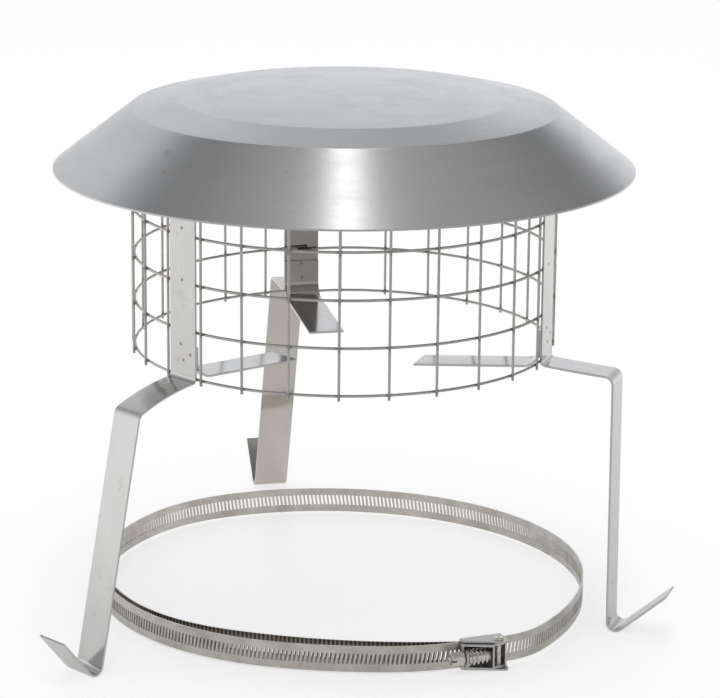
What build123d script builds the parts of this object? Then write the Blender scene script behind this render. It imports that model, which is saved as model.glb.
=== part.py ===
"""A chimney cap: a sheet hat over a round mesh cage, on three strip legs bent by hand,
with the loose worm-screw strap that pulls the legs against the chimney pot.

Z is the cap's own axis and Z = 0 is the bottom hoop of the cage, where the legs turn out
over the rim of the pot. The rear leg is on +Y. A bearing is in degrees about the axis,
0 at the front (-Y) and positive towards +X. All sizes are in millimetres.
"""

import os
from math import cos, radians, sin, sqrt, tan

from build123d import *

# Mesh cage
MESH_PITCH = 25.4
HOOP_COUNT = 6
HOOP_R = 114.0
WIRE = 1.5
SEAM_HALF_ANGLE = 11.1
TOP_STUB = 1.5
BOTTOM_STUB = 2.4

# Hat, measured down and out from the crease between its top and its skirt
HAT_SHEET = 0.8
HAT_CLEARANCE = 1.9
CREASE_MARGIN = 1.8
SKIRT_REACH = 41.7
SKIRT_DROP = 32.2
SHOULDER_WIDTH = 24.8
SHOULDER_RISE = 5.6
CROWN_RISE = 5.0
CROWN_RINGS = 2

# Strips for the legs and the locating fingers
STRIP_WIDTH = 20.0
STRIP_SHEET = 1.2
TAB_FOLD = 0.4
STRIP_BEND = 2.0
SHELF_BEND = 4.0
FOOT_BEND = 4.0
LEG_TAB = 22.0
LEG_SHELF_Z = -1.6
LEG_SHELF = 40.0
FLOOR_Z = -147.2
HOOK_HEIGHT = 22.5
FINGER_TOP = 18.0
FINGER_REACH = 71.0
FINGER_BEND = 9.0

# How each leg was welded on and bent: its side of the cage, how far it was welded from the middle
# of its mesh cell, shelf droop, splay and hook rise, all in degrees
LEG_BENDS = {
    "front_left": (-60.0, 0.0, 15.5, 11.6, 50.0),
    "front_right": (60.0, 0.8, 5.0, 0.3, 41.0),
    "rear": (180.0, 0.4, 0.5, 19.5, 46.0),
}

# How each finger was bent: the height of its level part, and its droop in degrees
FINGER_BENDS = {"front_left": (1.8, 2.2), "front_right": (-1.2, 4.6), "rear": (-2.0, 3.6)}

# Pot strap, lying loose on the floor inside the legs
BAND_WIDTH = 14.2
BAND_SHEET = 0.8
BAND_R = 142.9
BAND_X = -7.2
BAND_Y = 5.8
BAND_LAYER_GAP = 0.1
SLOT_PITCH = 2.35
SLOT_WIDTH = 1.2
SLOT_HEIGHT = 6.0
SLOT_SLANT = 8.0
SLOT_COUNT = 18

# How the loose loop has sprung out of round, from the lock on: the radius of each stretch as a
# share of the strap's own, and its turn in degrees
FIXED_END_ARCS = ((0.084, 16.5), (1.819, 26.6), (0.756, 38.5), (1.025, 63.7))
CORNER_ARCS = ((0.3205, 35.3),)
TAIL_ARCS = ((0.788, 20.7), (1.54, 15.2), (0.91, 61.0))

# Strap lock
LOCK_BEARING = 22.8
LOCK_SAG = -1.2
LOCK_HEADING = 10.0
LOCK_RUN = 24.0
LOCK_SHEET = 1.0
SADDLE_LENGTH = 23.5
SADDLE_DEPTH = 10.8
END_WALL_DEPTH = 6.0
LOCK_CORNER = 3.0
PIN_R = 1.5
PIN_HEAD_R = 2.8
PIN_HEAD = 1.2
PIN_SET_BACK = 4.7
EAR_R = 3.2
CARRIER_DEPTH = 9.4
JOURNAL_WALL_X = -2.4
NECK_WALL_X = 12.4
SCREW_HEIGHT = 5.5
THREAD_R = 4.4
NECK_R = 2.2
JOURNAL_R = 1.6
COLLAR_R = 3.8
COLLAR = 1.3
HEAD_ACROSS = 7.0
HEAD_LENGTH = 6.0
DRIVER_SLOT = 1.3
DRIVER_DEPTH = 2.5
BODY_GAP = 0.3
RUNNING_GAP = 0.05
WELD_GAP = 0.02

# Derived places
FIRST_BEARING = SEAM_HALF_ANGLE - 180
CELL_COUNT = round(radians(-2 * FIRST_BEARING) * HOOP_R / MESH_PITCH)
UPRIGHT_STEP = -2 * FIRST_BEARING / CELL_COUNT
UPRIGHT_R = HOOP_R + WIRE + WELD_GAP
CAGE_TOP_Z = (HOOP_COUNT - 1) * MESH_PITCH
STRAP_FACE_R = HOOP_R + WIRE / 2 + WELD_GAP
HAT_DROP = HAT_SHEET * sqrt(1 + (SKIRT_DROP / SKIRT_REACH) ** 2)
CREASE_R = HOOP_R + CREASE_MARGIN
CREASE_Z = CAGE_TOP_Z + TOP_STUB + HAT_CLEARANCE
STEP_R = CREASE_R - SHOULDER_WIDTH
SHOULDER_SLOPE = SHOULDER_RISE / SHOULDER_WIDTH
BAND_MID_Z = FLOOR_Z + LOCK_SHEET + BAND_WIDTH / 2
PIN_X = -SADDLE_LENGTH / 2 + PIN_SET_BACK
EAR_Z = BAND_WIDTH / 2 - BODY_GAP


def plan(bearing, reach, z=0.0):
    """The point at a bearing and a distance from the cap's axis."""
    return Vector(reach * sin(radians(bearing)), -reach * cos(radians(bearing)), z)


def radial_plane(bearing):
    """The upright plane at a bearing, with x out from the axis and y up."""
    return Plane(origin=(0, 0, 0), x_dir=plan(bearing, 1), z_dir=-plan(bearing + 90, 1))


def build_hat():
    """One sheet: a low crown in shallow rings, a flat shoulder and a straight skirt."""
    crease = Vector(CREASE_R, CREASE_Z)
    step = Vector(STEP_R, CREASE_Z + SHOULDER_RISE)
    rim = Vector(CREASE_R + SKIRT_REACH, CREASE_Z - SKIRT_DROP)
    outside = []
    for ring in range(CROWN_RINGS):
        part = ring / CROWN_RINGS
        outside.append(Vector(STEP_R * part, step.Y + CROWN_RISE * (1 - part**2)))
    outside += [step, crease, rim]
    inside = [point - Vector(0, HAT_DROP) for point in reversed(outside)]
    return revolve(Plane.XZ * make_face(Polyline(*outside, *inside, close=True)), Axis.Z)


def hoop_corners():
    """Where a hoop bends, between short straights that lie on the uprights and on the legs."""
    bearing = FIRST_BEARING
    corners = []
    for turn in [UPRIGHT_STEP / 2] * (2 * CELL_COUNT) + [SEAM_HALF_ANGLE / 2] * 4:
        corners.append(plan(bearing + turn / 2, HOOP_R / cos(radians(turn / 2))))
        bearing += turn
    return corners


def build_hoop(row):
    """One ring of mesh wire, four-sided in section, mitred at its corners."""
    corners = hoop_corners()
    first = radial_plane(FIRST_BEARING + UPRIGHT_STEP / 4) * Pos(corners[0].length)
    path = Polyline(*corners, close=True)
    hoop = sweep(first * Rectangle(WIRE, WIRE), path=path, transition=Transition.RIGHT)
    return Pos(0, 0, row * MESH_PITCH) * hoop


def build_upright(number):
    """One mesh wire outside the hoops, counted round from the seam, six-sided in section."""
    length = CAGE_TOP_Z + TOP_STUB + BOTTOM_STUB
    section = Pos(UPRIGHT_R) * RegularPolygon(WIRE / 2, 6, major_radius=False, rotation=30)
    turn = FIRST_BEARING + number * UPRIGHT_STEP - 90
    return Rot(0, 0, turn) * Pos(0, 0, -BOTTOM_STUB) * extrude(section, length)


def bent_strip(bearing, face_line, bends):
    """A flat strip bent to a line on one of its faces, with the steel on the line's left.

    The line lies in the upright plane of the bearing, and each bend is given by its inside radius.
    """
    corners = [Vector(*point) for point in face_line]
    ways = [(end - start).normalized() for start, end in zip(corners, corners[1:])]
    far_corners, radii, far_radii = [], [], []
    for corner, before, after in zip(corners, ways[:1] + ways, ways + ways[-1:]):
        left = (before + after).normalized().rotate(Axis.Z, 90)
        far_corners.append(corner + left * (STRIP_SHEET / left.dot(before.rotate(Axis.Z, 90))))
    for bend, before, after in zip(bends, ways, ways[1:]):
        turns_left = before.cross(after).Z > 0
        radii.append(bend + STRIP_SHEET * turns_left)
        far_radii.append(bend + STRIP_SHEET * (not turns_left))
    near = FilletPolyline(*corners, radius=radii)
    far = FilletPolyline(*far_corners, radius=far_radii)
    face = make_face(near.edges() + far.edges() + [Line(near @ 0, far @ 0), Line(near @ 1, far @ 1)])
    return extrude(radial_plane(bearing) * face, STRIP_WIDTH / 2, both=True)


def hat_underside(reach):
    """Height of the hat's underside over its flat shoulder."""
    return CREASE_Z - HAT_DROP + (CREASE_R - reach) * SHOULDER_SLOPE


def foot_corner_z(splay, rise):
    """Height of the corner between leg and hook whose rounded underside rests on the floor."""
    down = Vector(sin(radians(splay)), -cos(radians(splay)))
    out = Vector(cos(radians(rise)), sin(radians(rise)))
    radius = FOOT_BEND + STRIP_SHEET
    half_turn = radians(down.get_angle(out)) / 2
    to_centre = (out - down).normalized() * (radius / cos(half_turn))
    return FLOOR_Z + radius - to_centre.Y


def leg_bearing(corner):
    """The bearing of a leg, from the middle of the mesh cell or seam that it is welded over."""
    side, off_middle = LEG_BENDS[corner][:2]
    cell = (side - FIRST_BEARING) // UPRIGHT_STEP
    middle = FIRST_BEARING + (cell + 0.5) * UPRIGHT_STEP if cell < CELL_COUNT else 180
    return middle + off_middle


def build_leg(corner, hat):
    """A leg: welded tab under the hat, strap down the cage, shelf over the pot's rim, hooked foot."""
    droop, splay, rise = LEG_BENDS[corner][2:]
    tab_sheet = STRIP_SHEET * sqrt(1 + SHOULDER_SLOPE**2)
    tab_end = STRAP_FACE_R - LEG_TAB
    shelf_end = Vector(
        STRAP_FACE_R + LEG_SHELF * cos(radians(droop)), LEG_SHELF_Z - LEG_SHELF * sin(radians(droop))
    )
    foot_z = foot_corner_z(splay, rise)
    foot = Vector(shelf_end.X + (shelf_end.Y - foot_z) * tan(radians(splay)), foot_z)
    hook_rise = FLOOR_Z + HOOK_HEIGHT - foot_z
    face_line = [
        (tab_end, hat_underside(tab_end) - tab_sheet),
        (STRAP_FACE_R, hat_underside(STRAP_FACE_R) - tab_sheet),
        (STRAP_FACE_R, LEG_SHELF_Z),
        shelf_end,
        foot,
        foot + Vector(hook_rise / tan(radians(rise)), hook_rise),
    ]
    bends = [TAB_FOLD, STRIP_BEND, SHELF_BEND, FOOT_BEND]
    return bent_strip(leg_bearing(corner), face_line, bends) - hat


def build_finger(corner):
    """A locating finger: welded flat to its leg through the mesh, then curving in over the pot."""
    level, droop = FINGER_BENDS[corner]
    bottom_z = level - STRIP_SHEET
    face_line = [
        (STRAP_FACE_R - FINGER_REACH, bottom_z - FINGER_REACH * tan(radians(droop))),
        (STRAP_FACE_R, bottom_z),
        (STRAP_FACE_R, FINGER_TOP),
    ]
    return bent_strip(leg_bearing(corner), face_line, [FINGER_BEND])


def lock_middle():
    """The middle of the strap's run through the lock, on its inner face, and the lock's heading."""
    middle = Vector(BAND_X, BAND_Y) + plan(LOCK_BEARING, BAND_R - LOCK_SAG)
    return middle, Vector(1, 0).rotate(Axis.Z, LOCK_HEADING)


def smooth_arcs(start, heading, arcs, turn):
    """Arcs that follow one another smoothly from a point, turning left (1) or right (-1)."""
    bent = []
    for share, angle in arcs:
        bent.append(JernArc(start, heading, share * BAND_R, turn * angle))
        start, heading = bent[-1] @ 1, bent[-1] % 1
    return bent


def arc_into_round(start, heading, turn):
    """The arc that leaves a point smoothly and ends smoothly on the strap's round part."""
    mid = Vector(BAND_X, BAND_Y)
    to_centre = heading.rotate(Axis.Z, 90 * turn)
    radius = (BAND_R**2 - (start - mid).length ** 2) / (2 * (to_centre.dot(start - mid) + BAND_R))
    centre = start + to_centre * radius
    return TangentArc(start, mid + (centre - mid) * (BAND_R / (BAND_R - radius)), tangent=heading)


def band_paths():
    """The inner face of the strap: its fixed end, round part, corner, and run with the tail."""
    lock, heading = lock_middle()
    run = Line(lock + heading * (LOCK_RUN / 2), lock - heading * (LOCK_RUN / 2))
    inward = heading.rotate(Axis.Z, 90) * (BAND_SHEET + BAND_LAYER_GAP)
    fixed_end = [run.moved(Location(inward))]
    fixed_end += smooth_arcs(fixed_end[0] @ 1, -heading, FIXED_END_ARCS, -1)
    fixed_end.append(arc_into_round(fixed_end[-1] @ 1, fixed_end[-1] % 1, -1))
    corner = smooth_arcs(run @ 0, heading, CORNER_ARCS, 1)
    corner.append(arc_into_round(corner[-1] @ 1, corner[-1] % 1, 1))
    tail = [run] + smooth_arcs(run @ 1, -heading, TAIL_ARCS, -1)
    round_part = TangentArc(corner[-1] @ 1, fixed_end[-1] @ 1, tangent=corner[-1] % 1)
    return fixed_end, [round_part], corner, tail


def slot_cutters(path):
    """Cutters for the worm's slanted slots, from the start of a stretch of the strap."""
    cutters = []
    for number in range(SLOT_COUNT):
        at = (number + 0.5) * SLOT_PITCH
        plane = Plane(
            origin=path.position_at(at, position_mode=PositionMode.LENGTH),
            x_dir=path.tangent_at(at, position_mode=PositionMode.LENGTH),
            z_dir=(0, 0, 1),
        )
        slot = Box(SLOT_WIDTH, BAND_SHEET + BAND_LAYER_GAP, SLOT_HEIGHT, rotation=(0, SLOT_SLANT, 0))
        cutters.append(plane * Pos(0, BAND_SHEET / 2) * slot)
    return cutters


def build_band():
    """One strip: fixed under the lock, right round, through the lock and on as a free tail.

    The slots are cut where the worm grips, under the screw and on along the start of the tail.
    """
    fixed_end, round_part, corner, tail = band_paths()
    pieces = []
    for path, side in (
        (fixed_end, Side.LEFT), (round_part, Side.RIGHT), (corner, Side.RIGHT), (tail, Side.LEFT)
    ):
        strip = make_face(offset(Wire(path), BAND_SHEET, side=side))
        pieces.append(extrude(Plane.XY * strip, BAND_WIDTH / 2, both=True))
    pieces[3] -= slot_cutters(Wire(tail))
    return Pos(0, 0, BAND_MID_Z) * pieces[0].fuse(*pieces[1:])


def lock_plane():
    """The lock's frame: on the strap's outer face, x to the screw's head, y outward, z up."""
    middle, heading = lock_middle()
    origin = middle + heading.rotate(Axis.Z, -90) * BAND_SHEET + Vector(0, 0, BAND_MID_Z)
    return Plane(origin=origin, x_dir=-heading, z_dir=(0, 0, 1))


def block(x, y, z):
    """A box given by its lowest and highest x, y and z."""
    size = [high - low for low, high in (x, y, z)]
    centre = [(high + low) / 2 for low, high in (x, y, z)]
    return Pos(*centre) * Box(*size)


def build_saddle():
    """The folded saddle: a web inside the strap, two cheeks past its edges and an end wall."""
    half = SADDLE_LENGTH / 2
    inner_y = -2 * BAND_SHEET - BAND_LAYER_GAP
    cheek_z = BAND_WIDTH / 2
    web = block((-half, half), (inner_y - LOCK_SHEET, inner_y), (-cheek_z, cheek_z))
    wall = block(
        (-half, -half + LOCK_SHEET), (BAND_LAYER_GAP, END_WALL_DEPTH), (-cheek_z, cheek_z)
    )
    saddle = web + wall
    for z in (cheek_z, -cheek_z - LOCK_SHEET):
        cheek = block((-half, half), (inner_y - LOCK_SHEET, SADDLE_DEPTH), (z, z + LOCK_SHEET))
        outer = cheek.edges().filter_by(Axis.Z).group_by(Axis.Y)[-1]
        saddle += fillet(outer, LOCK_CORNER)
    return saddle - Pos(PIN_X, SCREW_HEIGHT) * Cylinder(PIN_R, BAND_WIDTH + 4 * LOCK_SHEET)


def build_pin():
    """The pivot pin, through both cheeks, with a flat round head on top."""
    low, high = -BAND_WIDTH / 2 - LOCK_SHEET, BAND_WIDTH / 2 + LOCK_SHEET
    base = (Align.CENTER, Align.CENTER, Align.MIN)
    shank = Pos(PIN_X, SCREW_HEIGHT, low) * Cylinder(PIN_R, high - low, align=base)
    return shank + Pos(PIN_X, SCREW_HEIGHT, high) * Cylinder(PIN_HEAD_R, PIN_HEAD, align=base)


def build_carrier():
    """The swinging carrier: two ears on the pin and two folded walls that hold the screw."""
    low_y, high_y = SCREW_HEIGHT - CARRIER_DEPTH / 2, SCREW_HEIGHT + CARRIER_DEPTH / 2
    back_x, front_x = JOURNAL_WALL_X - LOCK_SHEET / 2, NECK_WALL_X + LOCK_SHEET / 2
    ear_y = (SCREW_HEIGHT - EAR_R, SCREW_HEIGHT + EAR_R)
    carrier = block((back_x, back_x + LOCK_SHEET), (low_y, high_y), (-EAR_Z, EAR_Z))
    carrier += block((front_x - LOCK_SHEET, front_x), (low_y, high_y), (-EAR_Z, EAR_Z))
    for z in (EAR_Z - LOCK_SHEET, -EAR_Z):
        carrier += block((back_x, front_x), (low_y, high_y), (z, z + LOCK_SHEET))
        carrier += block((PIN_X, back_x), ear_y, (z, z + LOCK_SHEET))
        carrier += Pos(PIN_X, SCREW_HEIGHT, z + LOCK_SHEET / 2) * Cylinder(EAR_R, LOCK_SHEET)
    carrier -= Pos(PIN_X, SCREW_HEIGHT) * Cylinder(PIN_R + RUNNING_GAP, 2 * BAND_WIDTH)
    for wall_x, radius in ((JOURNAL_WALL_X, JOURNAL_R), (NECK_WALL_X, NECK_R)):
        hole = Cylinder(radius + RUNNING_GAP, 2 * LOCK_SHEET, rotation=(0, 90, 0))
        carrier -= Pos(wall_x, SCREW_HEIGHT) * hole
    return carrier


def build_screw():
    """The worm screw: tail journal, thread, neck, collar and a slotted hexagon head."""
    thread_from = JOURNAL_WALL_X + LOCK_SHEET / 2 + BODY_GAP
    thread_to = NECK_WALL_X - LOCK_SHEET / 2 - BODY_GAP
    collar_from = NECK_WALL_X + LOCK_SHEET / 2 + BODY_GAP
    head_from = collar_from + COLLAR
    head_to = head_from + HEAD_LENGTH
    lengths = (
        (JOURNAL_WALL_X - LOCK_SHEET / 2 - BODY_GAP, thread_from, JOURNAL_R),
        (thread_from, thread_to, THREAD_R),
        (thread_to, collar_from, NECK_R),
        (collar_from, head_from, COLLAR_R),
    )
    along = Plane(origin=(0, SCREW_HEIGHT, 0), x_dir=(0, 1, 0), z_dir=(1, 0, 0))
    screw = Part()
    for start, end, radius in lengths:
        screw += extrude(along.offset(start) * Circle(radius), end - start)
    hexagon = RegularPolygon(HEAD_ACROSS / 2, 6, major_radius=False)
    screw += extrude(along.offset(head_from) * hexagon, HEAD_LENGTH)
    across = (SCREW_HEIGHT - HEAD_ACROSS, SCREW_HEIGHT + HEAD_ACROSS)
    slot = block(
        (head_to - DRIVER_DEPTH, head_to + DRIVER_DEPTH), across, (-DRIVER_SLOT / 2, DRIVER_SLOT / 2)
    )
    return screw - slot


def save(name, shape):
    """Write one piece to its own file."""
    export_step(shape, f"parts/{name}.step")


def main():
    """Build every piece in place and write it."""
    os.makedirs("parts", exist_ok=True)
    hat = build_hat()
    save("hat", hat)
    for row in range(HOOP_COUNT):
        save(f"hoop_{row + 1}", build_hoop(row))
    for number in range(CELL_COUNT + 1):
        save(f"upright_{number + 1:02d}", build_upright(number))
    for corner in LEG_BENDS:
        save(f"leg_{corner}", build_leg(corner, hat))
        save(f"finger_{corner}", build_finger(corner))
    save("pot_strap", build_band())
    lock = lock_plane()
    save("strap_saddle", lock * build_saddle())
    save("pivot_pin", lock * build_pin())
    save("screw_carrier", lock * build_carrier())
    save("worm_screw", lock * build_screw())


main()
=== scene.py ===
# %% [markdown]
# # A chimney cap and its pot strap
#
# This lesson dresses a measured model of a chimney cap. A thin spun hat keeps the rain off a
# round cage of welded mesh. Three flat strips carry the cage on the rim of a pot, and a slotted
# strap with a worm screw pulls the strips against the pot. Here the strap lies loose.
#
# The measured model is never moved. Everything made below stands for one of its pieces or sits
# on one. Sizes are written in millimetres, and MM turns them into metres.

# %% Load the measured model
from cmath import exp, phase, pi
from math import ceil, cos, degrees, radians, sin, sqrt, tan

import bmesh
import bpy
from mathutils import Matrix, Vector


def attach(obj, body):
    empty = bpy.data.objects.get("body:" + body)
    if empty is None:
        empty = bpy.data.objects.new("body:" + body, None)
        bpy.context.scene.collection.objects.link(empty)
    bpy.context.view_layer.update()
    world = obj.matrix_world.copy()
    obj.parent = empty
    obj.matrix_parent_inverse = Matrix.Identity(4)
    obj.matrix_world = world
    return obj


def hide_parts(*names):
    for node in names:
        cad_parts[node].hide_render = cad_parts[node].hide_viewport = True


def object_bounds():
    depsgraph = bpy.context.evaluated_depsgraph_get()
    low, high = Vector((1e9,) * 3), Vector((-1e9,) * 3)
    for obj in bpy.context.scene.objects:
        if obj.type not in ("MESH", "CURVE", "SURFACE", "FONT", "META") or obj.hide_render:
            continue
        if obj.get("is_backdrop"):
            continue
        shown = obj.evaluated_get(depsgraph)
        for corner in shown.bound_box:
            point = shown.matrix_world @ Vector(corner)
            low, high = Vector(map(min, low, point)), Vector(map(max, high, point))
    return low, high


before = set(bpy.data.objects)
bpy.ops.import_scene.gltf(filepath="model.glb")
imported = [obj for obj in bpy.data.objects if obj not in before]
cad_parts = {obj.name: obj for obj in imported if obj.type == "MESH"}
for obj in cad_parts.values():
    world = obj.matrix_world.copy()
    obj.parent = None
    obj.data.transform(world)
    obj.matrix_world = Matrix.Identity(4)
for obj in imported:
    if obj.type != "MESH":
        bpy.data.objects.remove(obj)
cad_low, cad_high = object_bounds()
MM, UP = 0.001, Vector((0, 0, 1))
scene = bpy.context.scene
print("pieces in the model:", len(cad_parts))
print("its size in mm:", [round(side / MM, 1) for side in cad_high - cad_low])

# %% [markdown]
# ## Writing nodes as sums
#
# Materials and Geometry Nodes are both trees of small boxes. Placing each box by hand hides the
# idea, so one class adds any node in one call, and a second one wraps a socket: an expression
# such as 1 - mask then adds its own Math node.

# %% One helper for nodes and one for their values
class Value:
    """A number that comes out of a node. A sum written with it becomes Math nodes."""

    def __init__(self, tree, socket):
        self.tree, self.socket = tree, socket

    def output(self, name):
        return Value(self.tree, self.socket.node.outputs[name])

    def math(self, operation, *others):
        return self.tree.calculate(operation, self, *others)

    def positive(self):
        return self.math("MAXIMUM", 0.0)

    def clamped(self):
        return self.positive().math("MINIMUM", 1.0)

    def __rsub__(self, other): return self.tree.calculate("SUBTRACT", other, self)
    def __neg__(self): return self.math("MULTIPLY", -1.0)
    def __abs__(self): return self.math("ABSOLUTE")


SIGNS = {"add": "ADD", "radd": "ADD", "sub": "SUBTRACT", "mul": "MULTIPLY", "rmul": "MULTIPLY",
         "truediv": "DIVIDE", "pow": "POWER", "mod": "FLOORED_MODULO", "gt": "GREATER_THAN",
         "lt": "LESS_THAN"}
for sign, operation in SIGNS.items():
    setattr(Value, f"__{sign}__", lambda self, other, kind=operation: self.math(kind, other))


class Tree:
    """A node tree with one way to add a node: its type, its sockets, its output, its settings."""

    def __init__(self, tree):
        self.tree, self.family = tree, tree.bl_idname.removesuffix("Tree")

    def add(self, kind, sockets={}, output=0, **settings):
        """A type without its family's name is completed. A list is linked into one socket."""
        node = self.tree.nodes.new(kind if "Node" in kind else self.family + kind)
        for name, value in settings.items():
            setattr(node, name, value)
        for name, value in sockets.items():
            for one in value if isinstance(value, list) else [value]:
                if isinstance(one, Value):
                    self.tree.links.new(one.socket, node.inputs[name])
                else:
                    node.inputs[name].default_value = one
        return Value(self, node.outputs[output]) if len(node.outputs) else node

    def calculate(self, operation, *terms):
        return self.add("ShaderNodeMath", dict(enumerate(terms)), operation=operation)

    def mix(self, factor, first, second, blend="MIX"):
        first, second = (c if isinstance(c, Value) else (*c, 1) for c in (first, second))
        return self.add("ShaderNodeMix", {0: factor, 6: first, 7: second}, 2,
                        data_type="RGBA", blend_type=blend)

    def vector(self, x=0.0, y=0.0, z=0.0):
        return self.add("ShaderNodeCombineXYZ", {0: x, 1: y, 2: z})

    def split(self, vector):
        parts = self.add("ShaderNodeSeparateXYZ", {0: vector})
        return [parts.output(name) for name in "XYZ"]

    def noise(self, vector, scale=1.0, detail=3.0, rough=0.55):
        sockets = {"Vector": vector, "Scale": scale, "Detail": detail, "Roughness": rough}
        return self.add("ShaderNodeTexNoise", sockets, "Fac")

    def moved(self, geometry, position):
        return self.add("SetPosition", {"Geometry": geometry, "Position": position})

    def ramp(self, value, *stops):
        """A value read through stops, each a position and the grey that it gives."""
        ramped = self.add("ShaderNodeValToRGB", {0: value})
        elements = ramped.socket.node.color_ramp.elements
        for number, (position, grey) in enumerate(stops):
            stop = elements[number] if number < 2 else elements.new(position)
            stop.position, stop.color = position, (grey, grey, grey, 1)
        return ramped


print("signs that add a node:", len(SIGNS) + 3)

# %% [markdown]
# ## A metal to start from
#
# Every piece is stainless steel, yet no two look alike: sheet that was spun, strip that was
# rolled, drawn wire and turned screw. They share one shader, fully metallic. What tells them
# apart is how colour, roughness and tiny height change over the surface, so the helper takes
# those three. A colour is built up in coats, each laid over the last where its share says so.

# %% The metal helpers
materials = {}


def node_tree(owner, empty=True):
    """The node tree of a material or a world, emptied first if asked."""
    owner.use_nodes = True
    if empty:
        owner.node_tree.nodes.clear()
    return Tree(owner.node_tree)


def new_metal(name):
    """A new material of that name: its tree, and the place on the object in metres."""
    materials[name] = bpy.data.materials.new(name)
    tree = node_tree(materials[name], empty=False)
    return tree, tree.add("TexCoord", output="Object")


def metal(tree, coats, roughness, height, strength, depth=0.10 * MM):
    """Give a material's shader its coats of colour, its roughness and a bump from a height."""
    colour = coats[0]
    for share, tone in coats[1:]:
        colour = tree.mix(share, colour, tone)
    shader = tree.tree.nodes["Principled BSDF"]
    shader.inputs["Metallic"].default_value = 1.0
    bump = tree.add("Bump", {"Strength": strength, "Distance": depth, "Height": height})
    for socket, value in (("Base Color", colour), ("Roughness", roughness), ("Normal", bump)):
        tree.tree.links.new(value.socket, shader.inputs[socket])
    print("nodes in", list(materials)[-1], len(tree.tree.nodes))


print("metal helpers ready")

# %% [markdown]
# ## From a Geometry Nodes tree to a plain mesh
#
# A tree is a recipe with named inputs. The helper below puts it on an object as a modifier,
# fills the inputs in by their identifiers, and keeps only the mesh that comes out, so that the
# finished piece has no live modifier.

# %% Helpers that run a recipe and finish a piece
def recipe(name, whole, measures):
    """A new Geometry Nodes tree, its incoming geometry, and its named inputs in order."""
    group = bpy.data.node_groups.new(name, "GeometryNodeTree")
    kinds = {"Geometry": "Geometry", **dict.fromkeys(whole, "Int"),
             **dict.fromkeys(measures, "Float"), "Material": "Material"}
    for label, kind in kinds.items():
        group.interface.new_socket(label, in_out="INPUT", socket_type=f"NodeSocket{kind}")
    group.interface.new_socket("Geometry", in_out="OUTPUT", socket_type="NodeSocketGeometry")
    tree = Tree(group)
    start = tree.add("NodeGroupInput")
    return tree, start, *[start.output(label) for label in (*whole, *measures)]


def close_recipe(tree, start, geometry):
    """The last steps of every recipe: real geometry in place of instances, and its material."""
    real = tree.add("RealizeInstances", {"Geometry": geometry})
    smooth = tree.add("SetShadeSmooth", {"Geometry": real})
    done = tree.add("SetMaterial", {"Geometry": smooth, "Material": start.output("Material")})
    tree.add("NodeGroupOutput", {"Geometry": done})
    print("nodes in the recipe:", len(tree.tree.nodes))


def new_object(name, mesh):
    """An object at the origin that shows the mesh."""
    piece = bpy.data.objects.new(name, mesh)
    scene.collection.objects.link(piece)
    return piece


def settled(piece):
    """Swap a piece's mesh for what its modifiers make of it, and take the modifiers off."""
    evaluated = piece.evaluated_get(bpy.context.evaluated_depsgraph_get())
    mesh = bpy.data.meshes.new_from_object(evaluated)
    mesh.name = piece.name
    piece.modifiers.clear()
    piece.data = mesh
    return piece


def cooked(name, tree, base, material, values):
    """Run a recipe on a base mesh with a material and input values, and keep what comes out."""
    piece, values = new_object(name, base), {**values, "Material": materials[material]}
    modifier = piece.modifiers.new(name, "NODES")
    modifier.node_group = tree.tree
    for item in tree.tree.interface.items_tree:
        if item.name in values:
            modifier[item.identifier] = values[item.name]
    return settled(piece)


def face_outward(piece, whole_faces=False):
    """Merge doubled points, make flat faces whole if asked, and turn every face outwards."""
    work = bmesh.new()
    work.from_mesh(piece.data)
    bmesh.ops.remove_doubles(work, verts=work.verts, dist=1e-7)
    if whole_faces:
        bmesh.ops.dissolve_limit(work, angle_limit=radians(1), verts=work.verts, edges=work.edges)
    bmesh.ops.recalc_face_normals(work, faces=work.faces)
    work.to_mesh(piece.data)
    work.free()
    return piece


def crisp(piece, angle):
    """Keep every edge that is sharper than an angle crisp."""
    piece.data.set_sharp_from_angle(angle=radians(angle))
    return piece


def place(piece, body, slot, *nodes):
    """Say which body a finished piece rides on and the CAD nodes it stands for. Its finish is not used.
    """
    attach(piece, body)
    if nodes:
        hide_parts(*nodes)
    print(piece.name, "faces:", len(piece.data.polygons))


print("recipe helpers ready")

# %% [markdown]
# ## The finish of the hat
#
# The hat is stainless sheet, spun or pressed round a former. Such a sheet shows very fine rings,
# a soft haze where it was wiped, and a few rubbed spots. The rings follow the distance from the
# axis, so the noise is read at that distance. The picture shows the cap turned by twelve degrees.

# %% Spun sheet
VIEW_TURN = 12.0
# Each rubbed spot has a bearing in the picture, a distance from the axis and a radius.
HAT_SCUFFS = ((-46.0, 126.5, 2.8), (-42.5, 136.5, 2.0), (56.0, 134.0, 2.2), (-13.0, 129.0, 1.6))
NUB_R, NUB_WIDTH = 7.0, 3.0

tree, at = new_metal("spun_hat")
x, y, z = tree.split(at)
reach, turn = (x * x + y * y) ** 0.5, y.math("ARCTAN2", x)
rings = tree.noise(tree.vector(reach * 900, z * 900, turn * 0.6), 1.0, 2.0)
haze = tree.noise(at, 14.0, 4.0, 0.6)
smears = tree.noise(tree.vector(reach * 60, turn * 2.2, z * 60), 1.0, 4.0, 0.6)
streaks = tree.noise(tree.vector(reach * 1300, z * 1300, turn * 2), 1.0, 2.0)
scuffs = 0.0
for bearing, out, radius in HAT_SCUFFS:
    angle = radians(bearing - VIEW_TURN)
    dx, dy = x - out * MM * sin(angle), y + out * MM * cos(angle)
    spot = 1 - (dx * dx + dy * dy) ** 0.5 / (radius * MM)
    scuffs = scuffs + spot.positive() * (0.6 + 0.8 * haze)
scuffs = scuffs.math("MINIMUM", 1.0)
dull = tree.ramp(smears, (0.45, 0.0), (0.75, 1.0))
nub = (1 - abs(reach - NUB_R * MM) / (NUB_WIDTH * MM)).positive()
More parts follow.
